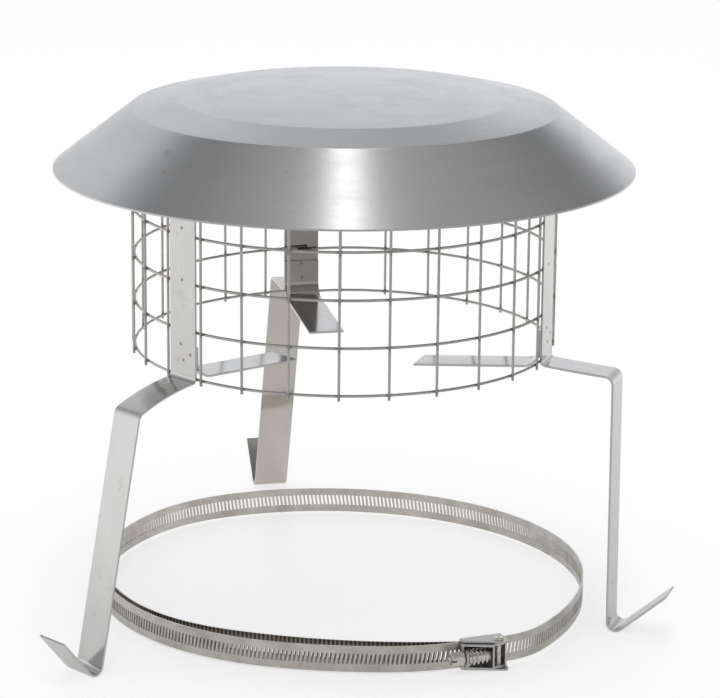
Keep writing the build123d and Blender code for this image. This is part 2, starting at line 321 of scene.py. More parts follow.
coats = [(0.622, 0.628, 0.636), (0.6 * dull, (0.560, 0.560, 0.556)),
         (0.25 * streaks, (0.50, 0.50, 0.495)), (0.12 * nub, (0.80, 0.80, 0.80)),
         (0.45 * scuffs, (0.26, 0.255, 0.25))]
roughness = 0.185 + 0.05 * rings + 0.06 * haze + 0.05 * dull + 0.12 * scuffs
metal(tree, coats, roughness, rings * 0.5 + haze * 0.5, 0.12, 0.09 * MM)

# %% [markdown]
# ## The hat
#
# A hat like this is a turned shape: one profile carried round the axis. The recipe takes the
# profile as a chain of points and builds a grid whose rows copy it and whose columns go round.
# Each grid point finds its row and column from its index. Merging closes the seam and the ends.

# %% A recipe that turns a profile round the axis
turning, start, segments = recipe("turned round the axis", ["Segments"], [])
rows = turning.add("AttributeDomainSize", {"Geometry": start}, "Point Count")
grid = turning.add("MeshGrid", {"Vertices X": segments + 1, "Vertices Y": rows})
index, point = turning.add("InputIndex"), turning.add("InputPosition")
row, column = index % rows, (index / rows).math("FLOOR")
found = turning.add("SampleIndex", {"Geometry": start, "Value": point, "Index": row},
                    data_type="FLOAT_VECTOR")
out, _, up = turning.split(found)
angle = column / segments * (2 * pi)
spun = turning.vector(out * angle.math("COSINE"), out * angle.math("SINE"), up)
closed = turning.add("MergeByDistance", {"Geometry": turning.moved(grid, spun), "Distance": 1e-6})
close_recipe(turning, start, closed)

# %% [markdown]
# The profile is written as the sheet's own corners, each with the radius it was bent to: crown,
# step, shoulder, crease and skirt. Points are complex numbers, because turning one is then a
# single multiplication. The same line, lowered by the sheet's thickness, is the inside.

# %% The hat's profile and the hat
HOOP_R, WIRE, MESH_PITCH, HOOPS = 114.0, 1.5, 25.4, 6
HAT_SHEET, CREASE_R, CREASE_Z, CREASE_ROUND = 0.8, 115.8, 130.4, 2.6
SKIRT_REACH, SKIRT_DROP = 41.7, 32.2
SHOULDER_WIDTH, SHOULDER_RISE, CROWN_RISE, STEP_ROUND = 24.8, 5.6, 5.0, 7.0
CROWN_PARTS, HAT_SEGMENTS = 16, 240


def rounded(corners, radii, step=radians(4)):
    """Points along a line of corners, each rounded to its radius, as complex numbers."""
    line = [corners[0]]
    for before, corner, after, radius in zip(corners, corners[1:], corners[2:], radii):
        arrive = (corner - before) / abs(corner - before)
        bend = phase((after - corner) / arrive)
        first = corner - arrive * radius * tan(abs(bend) / 2)
        centre = first + arrive * 1j * radius * (1 if bend > 0 else -1)
        count = max(3, ceil(abs(bend) / step))
        line += [centre + (first - centre) * exp(1j * bend * part / count) for part in range(count + 1)]
    return line + [corners[-1]]


def closer(line, gap):
    """The same line with extra points, so that no two neighbours are further apart than the gap."""
    dense = [line[0]]
    for first, second in zip(line, line[1:]):
        count = max(1, ceil(abs(second - first) / gap))
        dense += [first + (second - first) * part / count for part in range(1, count + 1)]
    return dense


def chain(name, points, upright=True):
    """A mesh that is only a chain of points, read from complex numbers in mm."""
    mesh = bpy.data.meshes.new(name)
    spots = [(p.real, 0.0, p.imag) if upright else (p.real, p.imag, 0.0) for p in points]
    mesh.from_pydata([Vector(spot) * MM for spot in spots],
                     [(i, i + 1) for i in range(len(points) - 1)], [])
    return mesh


step_r = CREASE_R - SHOULDER_WIDTH
crown_top = complex(0, CREASE_Z + SHOULDER_RISE + CROWN_RISE)
crown = [crown_top - complex(-step_r * part / CROWN_PARTS, CROWN_RISE * (part / CROWN_PARTS) ** 2)
         for part in range(CROWN_PARTS + 1)]
rim = complex(CREASE_R + SKIRT_REACH, CREASE_Z - SKIRT_DROP)
shoulder = rounded([*crown[-2:], complex(CREASE_R, CREASE_Z), rim], [STEP_ROUND, CREASE_ROUND])
outside = crown[:-1] + closer(shoulder, 2.5)[1:]
hat_drop = HAT_SHEET * sqrt(1 + (SKIRT_DROP / SKIRT_REACH) ** 2)
profile = outside + [point - 1j * hat_drop for point in reversed(outside)]
hat = cooked("hat_sheet", turning, chain("hat profile", profile), "spun_hat", {"Segments": HAT_SEGMENTS})
place(crisp(face_outward(hat), 30), "cap", "spun_hat", "hat")
print("profile points:", len(profile))

# %% [markdown]
# ## The finish of the wire
#
# Drawn wire is duller and browner than the sheet, and every spot weld leaves a dark burnt ring
# where a hoop and an upright cross. Two short sums say how far a point is from the nearest hoop
# and the nearest upright, and where both are small the colour turns brown.

# %% Drawn wire with burnt welds
SEAM_HALF_ANGLE, CELLS = 11.1, 26
FIRST_BEARING = SEAM_HALF_ANGLE - 180
CELL_ANGLE = -2 * FIRST_BEARING / CELLS
UPRIGHT_R = HOOP_R + WIRE + 0.02

tree, at = new_metal("mesh_wire")
x, y, z = tree.split(at)
bearing = x.math("ARCTAN2", -y)
along = (bearing - radians(FIRST_BEARING)) / radians(CELL_ANGLE)
off_upright = abs((along + 0.5) % 1.0 - 0.5) * (radians(CELL_ANGLE) * HOOP_R)
off_hoop = abs((z / (MESH_PITCH * MM) + 0.5) % 1.0 - 0.5) * MESH_PITCH
off_weld = (off_upright * off_upright + off_hoop * off_hoop) ** 0.5
burn_and_painted_reflection = (1.3 - off_weld / 2.0).clamped()
seam = (1.4 - (pi - abs(bearing)) / radians(4)).clamped()
patches, drawn = tree.noise(at, 70.0, 4.0, 0.6), tree.noise(at, 900.0, 2.0)
coats = [(0.46, 0.44, 0.41), (patches, (0.64, 0.615, 0.58)), (0.5 * burn_and_painted_reflection, (0.22, 0.18, 0.14)),
         (0.9 * seam, (0.07, 0.055, 0.05))]
metal(tree, coats, 0.24 + 0.12 * patches + 0.08 * drawn + 0.15 * burn_and_painted_reflection, drawn + burn_and_painted_reflection, 0.3)
print("welds on the mesh:", HOOPS * (CELLS + 1))

# %% [markdown]
# ## The mesh cage
#
# Welded mesh is rolled into a tube. Hoops run round it, uprights are welded to their outside, and
# at the back each hoop's ends lie over each other. One recipe makes all of it: a hoop is a line
# of points set round the axis and copied up by the pitch, an upright is one rod copied round,
# and a small flat bead sits at every crossing. Each upright leans by a hair, picked from a fixed
# seed, because no real mesh is perfect.

# %% The cage recipe
HOOP_POINTS, LAP_SHARE, BEAD_SIZE, BEAD_SHAPE = 217, 9, 1.25, (0.85, 0.55, 0.85)
(caging, start, hoop_count, uprights, seed, pitch, hoop_r, wire_r, upright_r, first_bearing,
 cell_angle, top, bottom, overlap, gap, most) = recipe(
    "welded mesh cage", ["Hoops", "Uprights", "Seed"],
    ["Pitch", "Hoop radius", "Wire radius", "Upright radius", "First bearing", "Bearing step",
     "Top", "Bottom", "Seam overlap", "Seam gap", "Lean"])


def round_axis(radius, bearing, height=0.0):
    """A place at a radius and a bearing. Bearing 0 is the front, and it grows to the right."""
    return caging.vector(radius * bearing.math("SINE"), -(radius * bearing.math("COSINE")), height)


number = caging.add("InputIndex")
wire = caging.add("CurvePrimitiveCircle", {"Resolution": 10, "Radius": wire_r})
share = number / (HOOP_POINTS - 1)
angle = (share - 0.5) * (overlap + 2 * pi)
from_end = (1 - abs(share - 0.5) * 2) * LAP_SHARE
rise = (1 - from_end).positive() ** 2 * (share - 0.5).math("SIGN") * gap * -0.5
ring = caging.add("MeshLine", {"Count": HOOP_POINTS})
ring = caging.moved(ring, round_axis(hoop_r, angle, rise))
ring = caging.add("MeshToCurve", {"Mesh": ring})
tube = caging.add("CurveToMesh", {"Curve": ring, "Profile Curve": wire, "Fill Caps": True})
levels = caging.add("MeshLine", {"Count": hoop_count, "Offset": caging.vector(z=pitch)})
hoops = caging.add("InstanceOnPoints", {"Points": levels, "Instance": tube})

bearing = first_bearing + number * cell_angle
feet = caging.moved(caging.add("MeshLine", {"Count": uprights}), round_axis(upright_r, bearing))
rod = caging.add("CurvePrimitiveLine", {"Start": caging.vector(z=bottom), "End": caging.vector(z=top)})
rod = caging.add("CurveToMesh", {"Curve": rod, "Profile Curve": wire, "Fill Caps": True})
lean = caging.add("FunctionNodeRandomValue", {
    0: caging.vector(-most, -most), 1: caging.vector(most, most), "Seed": seed}, data_type="FLOAT_VECTOR")
rods = caging.add("InstanceOnPoints", {"Points": feet, "Instance": rod, "Rotation": lean})

bead = caging.add("MeshUVSphere", {"Segments": 8, "Rings": 6, "Radius": wire_r * BEAD_SIZE})
bearing = first_bearing + number % uprights * cell_angle
level = (number / uprights).math("FLOOR") * pitch
crossings = caging.add("MeshLine", {"Count": uprights * hoop_count})
crossings = caging.moved(crossings, round_axis(hoop_r + wire_r, bearing, level))
beads = caging.add("InstanceOnPoints", {"Points": crossings, "Instance": bead,
                                        "Rotation": caging.vector(z=bearing), "Scale": BEAD_SHAPE})
close_recipe(caging, start, caging.add("JoinGeometry", {"Geometry": [hoops, rods, beads]}))

# %% [markdown]
# The recipe is given the cage's measured sizes. The uprights stand out a little past the first
# and the last hoop, where the mesh was cut.

# %% The cage
TOP_STUB, BOTTOM_STUB, SEAM_OVERLAP, SEAM_GAP, MOST_LEAN = 1.5, 2.4, 2.6, 2.0, 0.0025
cage = cooked("welded_mesh_cage", caging, bpy.data.meshes.new("empty"), "mesh_wire", {
    "Hoops": HOOPS, "Pitch": MESH_PITCH * MM, "Hoop radius": HOOP_R * MM, "Wire radius": WIRE / 2 * MM,
    "Uprights": CELLS + 1, "Upright radius": UPRIGHT_R * MM, "First bearing": radians(FIRST_BEARING),
    "Bearing step": radians(CELL_ANGLE), "Top": ((HOOPS - 1) * MESH_PITCH + TOP_STUB) * MM,
    "Bottom": -BOTTOM_STUB * MM, "Seam overlap": radians(SEAM_OVERLAP), "Seam gap": SEAM_GAP * MM,
    "Lean": MOST_LEAN, "Seed": 4})
wire_nodes = [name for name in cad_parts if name.startswith(("hoop_", "upright_"))]
place(face_outward(cage), "cap", "mesh_wire", *wire_nodes)

# %% [markdown]
# ## The finish of the strips
#
# The legs and fingers are cut from rolled strip and bent by hand. Rolling leaves long fine lines,
# and this pattern must follow each strip round its bends. A UV map does that: U runs along the
# strip in metres and V across it, and the noise is stretched along U. The rear leg gets a painted
# reflection: a brownish, darker tint, and a darker tone still from the shelf upwards.

# %% Rolled strip
PAINTED_TINT_FROM_Y, PAINTED_DARK_FROM_Z = 90.0, -1.0

tree, at = new_metal("strip_steel")
u, v, _ = tree.split(tree.add("UVMap", uv_map="strip"))
x, y, z = tree.split(at)
lines = tree.noise(tree.vector(u * 22, v * 1500))
clouds = tree.noise(at, 34.0, 5.0, 0.65)
stains = tree.ramp(tree.noise(at, 95.0, 4.0, 0.7), (0.58, 0.0), (0.72, 1.0))
rubs = tree.ramp(tree.noise(tree.vector(u * 60, v * 420, 3.0)), (0.64, 0.0), (0.70, 1.0))
# Painted reflection: the rear leg is tinted brownish and darker, and darker still from the shelf upwards.
rear_painted_reflection = ((y - PAINTED_TINT_FROM_Y * MM) / (20 * MM)).clamped()
burn_and_painted_reflection = rear_painted_reflection * ((z - PAINTED_DARK_FROM_Z * MM) / (3 * MM)).clamped()
coats = [(0.600, 0.590, 0.572), (clouds, (0.690, 0.684, 0.672)), (0.35 * stains, (0.46, 0.42, 0.37)),
         (0.3 * rubs, (0.80, 0.80, 0.79)), (0.75 * rear_painted_reflection, (0.60, 0.55, 0.50)),
         (0.6 * burn_and_painted_reflection, (0.24, 0.21, 0.19))]
roughness = 0.05 + 0.07 * lines + 0.07 * clouds + 0.12 * stains + 0.05 * rubs
metal(tree, coats, roughness, lines + 1.5 * clouds, 0.10, 0.12 * MM)

# %% [markdown]
# ## The strips
#
# A bent strip is a rectangle carried along a line that was bent at its corners. The line is the
# face that touches the cage, with the steel on its left, and each bend is given by its inside
# radius. The edges are then rounded a little, because a knife edge catches no light, and the
# wide faces keep their flat shading.

# %% A strip from its bent line
STRIP_WIDTH, STRIP_SHEET, EDGE_ROUND = 20.0, 1.2, 0.22


def outward(bearing):
    """The level direction away from the axis at a bearing in degrees."""
    return Vector((sin(radians(bearing)), -cos(radians(bearing)), 0))


def ringed(name, rings, material):
    """A closed object over rings of points, each ring with the same number of points."""
    around, last = len(rings[0]), (len(rings) - 1) * len(rings[0])
    faces = [(k + j, k + (j + 1) % around, k + around + (j + 1) % around, k + around + j)
             for k in range(0, last, around) for j in range(around)]
    faces += [tuple(range(around)), tuple(range(last, last + around))]
    mesh = bpy.data.meshes.new(name)
    mesh.from_pydata([point * MM for ring in rings for point in ring], [], faces)
    mesh.materials.append(materials[material])
    mesh.polygons.foreach_set("use_smooth", [True] * len(faces))
    return new_object(name, mesh)


def softened(piece, width):
    """Round a piece's edges by a width in mm and let its wide faces decide the shading."""
    for polygon in piece.data.polygons:
        polygon.use_smooth = True
    bevel = piece.modifiers.new("edges", "BEVEL")
    bevel.width, bevel.segments, bevel.limit_method = width * MM, 2, "ANGLE"
    bevel.angle_limit = radians(35)
    piece.modifiers.new("shading", "WEIGHTED_NORMAL").keep_sharp = True
    return settled(piece)


def bent_strip(name, bearing, corners, bends):
    """A strip along a bent line in the upright plane of a bearing, with a UV map along it."""
    ways = [second - first for first, second in zip(corners, corners[1:])]
    # The steel on the line's left makes the line the outside of each left bend.
    radii = [bend + (STRIP_SHEET if phase(after / before) > 0 else 0)
             for bend, before, after in zip(bends, ways, ways[1:])]
    line = closer(rounded(corners, radii, radians(7)), 12)
    ways = [(second - first) / abs(second - first) for first, second in zip(line, line[1:])]
    out, across = outward(bearing), outward(bearing + 90) * STRIP_WIDTH / 2
    rings, lengths = [], [0.0]
    for before, after, near in zip([ways[0], *ways], [*ways, ways[-1]], line):
        left = (before + after) / abs(before + after) * 1j
        far = near + left * STRIP_SHEET / (left * (before * 1j).conjugate()).real
        rings.append([out * spot.real + across * side + UP * spot.imag
                      for spot, side in ((near, -1), (near, 1), (far, 1), (far, -1))])
    for first, second in zip(line, line[1:]):
        lengths.append(lengths[-1] + abs(second - first) * MM)
    strip = ringed(name, rings, "strip_steel")
    layer = strip.data.uv_layers.new(name="strip")
    over = (0.0, STRIP_WIDTH, STRIP_WIDTH + STRIP_SHEET, STRIP_SHEET)
    for loop in strip.data.loops:
        ring, corner = divmod(loop.vertex_index, 4)
        layer.data[loop.index].uv = lengths[ring] + bearing, over[corner] * MM
    return softened(face_outward(strip), EDGE_ROUND)


print("strip helpers ready")

# %% [markdown]
# The three legs share one pattern: a tab welded under the hat, a run down the cage, a shelf that
# rests on the pot's rim, a splayed lower leg and a hooked foot. Each was bent a little
# differently: the numbers are the bearing, the droop of the shelf, the splay of the lower leg
# and the rise of the hook, in degrees. A shelf may also arch.

# %% The legs
STRAP_FACE_R = HOOP_R + WIRE / 2 + 0.02
LEG_TAB, LEG_SHELF_Z, LEG_SHELF, FLOOR_Z, HOOK_HEIGHT = 22.0, -1.6, 40.0, -147.2, 22.5
TAB_FOLD, STRIP_BEND, SHELF_BEND, FOOT_BEND, TAB_GAP = 0.4, 2.0, 4.0, 4.0, 0.14
LEG_BENDS = {
    "front_left": (FIRST_BEARING + 8.5 * CELL_ANGLE, 15.5, 11.6, 50.0),
    "front_right": (FIRST_BEARING + 17.5 * CELL_ANGLE + 0.8, 5.0, 0.3, 41.0),
    "rear": (180.4, 0.5, 19.5, 46.0),
}
SHELF_ARCH = {"front_left": 1.6, "front_right": -0.3, "rear": 0.3}
ARCH_PARTS, ARCH_ROUND = 8, 20.0
slope = SHOULDER_RISE / SHOULDER_WIDTH
foot_round = FOOT_BEND + STRIP_SHEET


def under_hat(reach):
    """Where a tab's underside lies when its top lies against the hat's shoulder."""
    tab = STRIP_SHEET * sqrt(1 + slope**2)
    return complex(reach, CREASE_Z - hat_drop + (CREASE_R - reach) * slope - tab - TAB_GAP)


for corner, (bearing, droop, splay, rise) in LEG_BENDS.items():
    shelf_start = complex(STRAP_FACE_R, LEG_SHELF_Z)
    along_shelf = LEG_SHELF * exp(-1j * radians(droop))
    shelf_end = shelf_start + along_shelf
    down, hook = -1j * exp(1j * radians(splay)), exp(1j * radians(rise))
    half_turn = abs(phase(hook / down)) / 2
    to_centre = (hook - down) / abs(hook - down) * foot_round / cos(half_turn)
    foot_z = FLOOR_Z + foot_round - to_centre.imag
    foot = shelf_end + down * (shelf_end.imag - foot_z) / cos(radians(splay))
    toe = foot + hook * (FLOOR_Z + HOOK_HEIGHT - foot_z) / sin(radians(rise))
    arch = SHELF_ARCH[corner] * 1j * along_shelf / LEG_SHELF * 4 / ARCH_PARTS**2
    bow = [shelf_start + along_shelf * part / ARCH_PARTS + arch * part * (ARCH_PARTS - part)
           for part in range(1, ARCH_PARTS)]
    corners = [under_hat(STRAP_FACE_R - LEG_TAB), under_hat(STRAP_FACE_R), shelf_start, *bow,
               shelf_end, foot, toe]
    bends = [TAB_FOLD, STRIP_BEND, *[ARCH_ROUND] * len(bow), SHELF_BEND, FOOT_BEND]
    leg = bent_strip(f"leg_strip_{corner}", bearing, corners, bends)
    place(leg, "cap", "strip_steel", f"leg_{corner}")

# %% [markdown]
# A finger is welded inside each leg and reaches into the cage. It has one bend, and its level and
# droop differ from leg to leg.

# %% The fingers
FINGER_TOP, FINGER_REACH, FINGER_BEND = 18.0, 71.0, 9.0
FINGER_BENDS = {"front_left": (1.8, 2.2), "front_right": (-1.2, 4.6), "rear": (-2.0, 3.6)}
for corner, (level, droop) in FINGER_BENDS.items():
    bottom = level - STRIP_SHEET
    tip = complex(STRAP_FACE_R - FINGER_REACH, bottom - FINGER_REACH * tan(radians(droop)))
    corners = [tip, complex(STRAP_FACE_R, bottom), complex(STRAP_FACE_R, FINGER_TOP)]
    finger = bent_strip(f"finger_strip_{corner}", LEG_BENDS[corner][0], corners, [FINGER_BEND])
    place(finger, "cap", "strip_steel", f"finger_{corner}")

# %% [markdown]
# ## Spot welds on the strips
#
# Where a strip crosses a hoop it is spot welded, and each weld leaves a small dark button of
# burnt metal, with little shine left in it.

# %% Burnt weld metal
tree, at = new_metal("weld_mark")
grain = tree.noise(at, 1500.0)
coats = [(0.24, 0.205, 0.18), (grain, (0.46, 0.42, 0.38))]
metal(tree, coats, 0.42 + 0.2 * grain, grain, 0.5)

# %% [markdown]
# The buttons are many, so a recipe copies one flattened ball to each marked point. The points
# carry the direction they face as an attribute.

# %% The weld recipe and the welds
BUTTON_R, BUTTON_HEIGHT = 0.9, 0.1
marking, start, button_r, button_height = recipe("spot welds", [], ["Button radius", "Button height"])
facing = marking.add("InputNamedAttribute", {"Name": "facing"}, data_type="FLOAT_VECTOR")
button = marking.add("MeshUVSphere", {"Segments": 12, "Rings": 8, "Radius": 1.0})
turned = marking.add("FunctionNodeAlignRotationToVector", {"Vector": facing}, axis="Z")
buttons = marking.add("InstanceOnPoints", {
    "Points": start, "Instance": button, "Rotation": turned,
    "Scale": marking.vector(button_r, button_r, button_height)})
close_recipe(marking, start, buttons)

# Each weld is a distance across the strip and a height.
OUTER_WELDS = ((-0.4, 80.6), (-0.2, 52.8), (-1.8, 18.0), (6.0, 13.4), (0.4, 9.6))
INNER_WELDS = ((0.2, 16.4), (-0.3, 7.9))
points, directions = [], []
for bearing, *_ in LEG_BENDS.values():
    out, across = outward(bearing), outward(bearing + 90)
    for side, welds in ((1, OUTER_WELDS), (-1, INNER_WELDS)):
        for aside, height in welds:
            face = STRAP_FACE_R + side * STRIP_SHEET
            points.append((out * face + across * aside + UP * height) * MM)
            directions.extend(out * side)
mesh = bpy.data.meshes.new("weld points")
mesh.from_pydata(points, [], [])
mesh.attributes.new("facing", "FLOAT_VECTOR", "POINT").data.foreach_set("vector", directions)
welds = cooked("strip_spot_welds", marking, mesh, "weld_mark", {
    "Button radius": BUTTON_R * MM, "Button height": BUTTON_HEIGHT * MM})
place(face_outward(welds), "cap", "strip_steel")
print("spot welds:", len(points))

# %% [markdown]
# ## The finish of the strap
#
# The strap is thin rolled stainless, warmer and greyer than the legs, with handling marks. Its
# rolling lines follow it round, so the recipe that bends it also stores a UV map. Its fixed end,
# which lies inside the tail, gets painted shade, with a near-black painted tick above each slot.

# %% Rolled strap
SLOT_PITCH, SHADE_FROM, SHADE_FADE, TICKS_ABOVE = 2.35, 905.0, 20.0, 3.4

tree, at = new_metal("strap_steel")
u, v, _ = tree.split(tree.add("UVMap", uv_map="strap"))
lines = tree.noise(tree.vector(u * 30, v * 2200))
clouds = tree.ramp(tree.noise(at, 60.0, 5.0, 0.65), (0.32, 0.0), (0.68, 1.0))
marks = tree.noise(tree.vector(u * 140, v * 500, 7.0))
marks = tree.ramp(marks, (0.60, 0.0), (0.68, 1.0))
# Painted shade: the fixed end inside the tail is darkened, with a near-black tick of shade above each
# slot.
painted_shade = ((u - SHADE_FROM * MM) / (SHADE_FADE * MM) + 0.6 * clouds).clamped()
tick = (abs(u / (SLOT_PITCH * MM) % 1.0 - 0.5) < 0.27) * (v > TICKS_ABOVE * MM)
coats = [(0.50, 0.465, 0.42), (clouds, (0.72, 0.69, 0.64)), (0.35 * marks, (0.43, 0.385, 0.33)),
         (0.6 * painted_shade, (0.30, 0.27, 0.24)), (0.85 * painted_shade * tick, (0.07, 0.06, 0.05))]
metal(tree, coats, 0.18 + 0.1 * lines + 0.1 * clouds + 0.08 * marks, lines + clouds, 0.2)

# %% [markdown]
# ## The line of the strap
#
# The strap has sprung open, so its loop is a chain of arcs of different radius. Each arc starts
# where the last one ended and in its direction, and the last one on each side is worked out so
# that it runs smoothly into the round part.

# %% The strap's arcs
BAND_WIDTH, BAND_SHEET, BAND_R, BAND_LAYER_GAP = 14.2, 0.8, 142.9, 0.1
BAND_MID = complex(-7.2, 5.8)
LOCK_BEARING, LOCK_SAG, LOCK_HEADING, LOCK_RUN, LOCK_SHEET = 22.8, -1.2, 10.0, 24.0, 1.0
# Each arc is its radius as a share of the round part's, and its angle in degrees.
FIXED_END_ARCS = ((0.084, 16.5), (1.819, 26.6), (0.756, 38.5), (1.025, 63.7))
CORNER_ARCS = ((0.3205, 35.3),)
TAIL_ARCS = ((0.788, 20.7), (1.54, 15.2), (0.91, 61.0))
band_z = FLOOR_Z + LOCK_SHEET + BAND_WIDTH / 2


def arc(start, centre, turn):
    """Points round a centre from a start, about one a degree."""
    count = max(2, ceil(abs(degrees(turn))))
    return [centre + (start - centre) * exp(1j * turn * part / count) for part in range(count + 1)]


def arcs_from(start, heading, arcs, side):
    """Arcs that follow one another, turning left (1) or right (-1)."""
    line = [start]
    for share, angle in arcs:
        centre = line[-1] + heading * 1j * side * share * BAND_R
        line += arc(line[-1], centre, side * radians(angle))[1:]
        heading *= exp(1j * side * radians(angle))
    return line, heading


def arc_into_round(start, heading, side):
    """The arc that leaves smoothly and ends smoothly on the strap's round part."""
    to_centre, away = heading * 1j * side, start - BAND_MID
    radius = (BAND_R**2 - abs(away) ** 2) / (2 * ((to_centre.conjugate() * away).real + BAND_R))
    centre = start + to_centre * radius
    end = BAND_MID + (centre - BAND_MID) * BAND_R / (BAND_R - radius)
    return arc(start, centre, phase((end - centre) / (start - centre)))[1:]


lock = BAND_MID + -1j * exp(1j * radians(LOCK_BEARING)) * (BAND_R - LOCK_SAG)
heading = exp(1j * radians(LOCK_HEADING))
half_lock, inward = heading * LOCK_RUN / 2, heading * 1j * (BAND_SHEET + BAND_LAYER_GAP)
corner, leaving = arcs_from(lock + half_lock, heading, CORNER_ARCS, 1)
corner += arc_into_round(corner[-1], leaving, 1)
tail, _ = arcs_from(lock - half_lock, -heading, TAIL_ARCS, -1)
fixed, leaving = arcs_from(lock - half_lock + inward, -heading, FIXED_END_ARCS, -1)
fixed += arc_into_round(fixed[-1], leaving, -1)
turn = phase((fixed[-1] - BAND_MID) / (corner[-1] - BAND_MID)) % (2 * pi)
strap_line = [*tail[::-1], *corner, *arc(corner[-1], BAND_MID, turn)[1:-1], *fixed[::-1],
              lock + half_lock + inward]
strap_length = sum(abs(second - first) for first, second in zip(strap_line, strap_line[1:]))
print("strap length in mm:", round(strap_length, 1))

# %% [markdown]
# ## The slotted strap
#
# The worm bites into slanted slots all along the strap. A real press punches them in the flat
# strip, which is bent afterwards, and the recipe does the same. It lays out a flat grid with
# three columns to each slot, shears the rows beside the slots, deletes the slot faces, gives the
# sheet its thickness, and carries every point to its place along the line.

# %% The strap recipe
strapping, start, slots, pitch, width, sheet, slot_width, height, slant, plain_end, level = recipe(
    "slotted strap", ["Slots"],
    ["Pitch", "Width", "Sheet", "Slot width", "Slot height", "Slant", "Plain end", "Level"])
COLUMNS, ROWS = 3, 4
grid = strapping.add("MeshGrid", {"Vertices X": slots * COLUMNS + 1, "Vertices Y": ROWS})
index, point = strapping.add("InputIndex"), strapping.add("InputPosition")
column, row = (index / ROWS).math("FLOOR"), index % ROWS
cell, part = (column / COLUMNS).math("FLOOR"), column % COLUMNS
x = cell * pitch + (part > 0.5) * ((pitch - slot_width) / 2) + (part > 1.5) * slot_width
inner = abs(row - 1.5) < 1
y = ((row > 1.5) * 2 - 1) * (inner * height + (1 - inner) * width) / 2
x = x + inner * y * slant * (part > 0.5)
flat = strapping.moved(grid, strapping.vector(x, y))
face_x, face_y, _ = strapping.split(point)
half_length = slots * pitch / 2
slotted = half_length - abs(face_x - half_length) > plain_end
in_slot = (abs((face_x / pitch) % 1.0 - 0.5) < 0.2) * (abs(face_y) < height / 4) * slotted
holed = strapping.add("DeleteGeometry", {"Geometry": flat, "Selection": in_slot}, domain="FACE")
raised = strapping.add("ExtrudeMesh", {"Mesh": holed, "Offset": (0, 0, 1), "Offset Scale": sheet,
                                       "Individual": False}, "Mesh", mode="FACES")
under = strapping.add("FlipFaces", {"Mesh": holed})
both = strapping.add("JoinGeometry", {"Geometry": [raised, under]})
both = strapping.add("MergeByDistance", {"Geometry": both, "Distance": 1e-6})
along, across, through = strapping.split(point)
mapped = strapping.add("StoreNamedAttribute", {
    "Geometry": both, "Name": "strap", "Value": strapping.vector(along, across + through)},
    data_type="FLOAT2", domain="CORNER")
curve = strapping.add("MeshToCurve", {"Mesh": start})
found = strapping.add("SampleCurve", {"Curves": curve, "Length": along}, "Position", mode="LENGTH")
line_x, line_y, _ = strapping.split(found)
way_x, way_y, _ = strapping.split(found.output("Tangent"))
bent = strapping.vector(line_x + way_y * through, line_y - way_x * through, across + level)
close_recipe(strapping, start, strapping.moved(mapped, bent))

# %% [markdown]
# The pitch is eased by a hair, so that a whole number of slots fills the length, and a plain
# margin is left at each end.

# %% The strap
SLOT_WIDTH, SLOT_HEIGHT, SLOT_SLANT, PLAIN_END = 1.25, 6.0, 8.0, 6.0
slot_count = int(strap_length / SLOT_PITCH)
line = chain("strap line", strap_line, upright=False)
strap = cooked("slotted_strap", strapping, line, "strap_steel", {
    "Slots": slot_count, "Pitch": strap_length / slot_count * MM, "Width": BAND_WIDTH * MM,
    "Sheet": BAND_SHEET * MM, "Slot width": SLOT_WIDTH * MM, "Slot height": SLOT_HEIGHT * MM,
    "Slant": tan(radians(SLOT_SLANT)), "Plain end": PLAIN_END * MM, "Level": band_z * MM})
place(crisp(face_outward(strap), 25), "cap", "strap_steel", "pot_strap")
print("slots:", slot_count)

# %% [markdown]
# ## The lock
#
# The lock has four parts. A folded saddle holds both layers of the strap. A carrier swings on a
# rivet between the saddle's cheeks, and the worm screw turns in the carrier. Pressed sheet has a
# slightly grained, greyer face, and the turned screw is brighter, with dirt between its threads.

# %% Pressed sheet and turned screw steel
tree, at = new_metal("lock_steel")
grain, clouds = tree.noise(at, 700.0, 4.0, 0.6), tree.noise(at, 160.0, 4.0, 0.6)
coats = [(0.52, 0.51, 0.50), (clouds, (0.68, 0.67, 0.66))]
metal(tree, coats, 0.24 + 0.12 * grain + 0.12 * clouds, grain + clouds, 0.3)

tree, at = new_metal("screw_steel")
grain = tree.noise(at, 900.0)
dirt = tree.ramp(tree.noise(at, 330.0, 4.0, 0.7), (0.5, 0.0), (0.7, 1.0))
coats = [(0.78, 0.75, 0.70), (0.6 * dirt, (0.36, 0.32, 0.27))]
metal(tree, coats, 0.16 + 0.1 * grain + 0.2 * dirt, grain, 0.2)

# %% [markdown]
# The lock's parts are drawn in a frame of their own: X along the screw, Y away from the strap, Z
# up. One matrix carries them to their place, and boxes cut in the same frame.

# %% The lock's own frame and a helper that cuts in it
SCREW_HEIGHT, PIN_X = 5.5, -7.05
lock_at = lock - heading * 1j * BAND_SHEET
lock_frame = Matrix((
    (-heading.real, heading.imag, 0, lock_at.real * MM),
    (-heading.imag, -heading.real, 0, lock_at.imag * MM),
    (0, 0, 1, band_z * MM), (0, 0, 0, 1)))


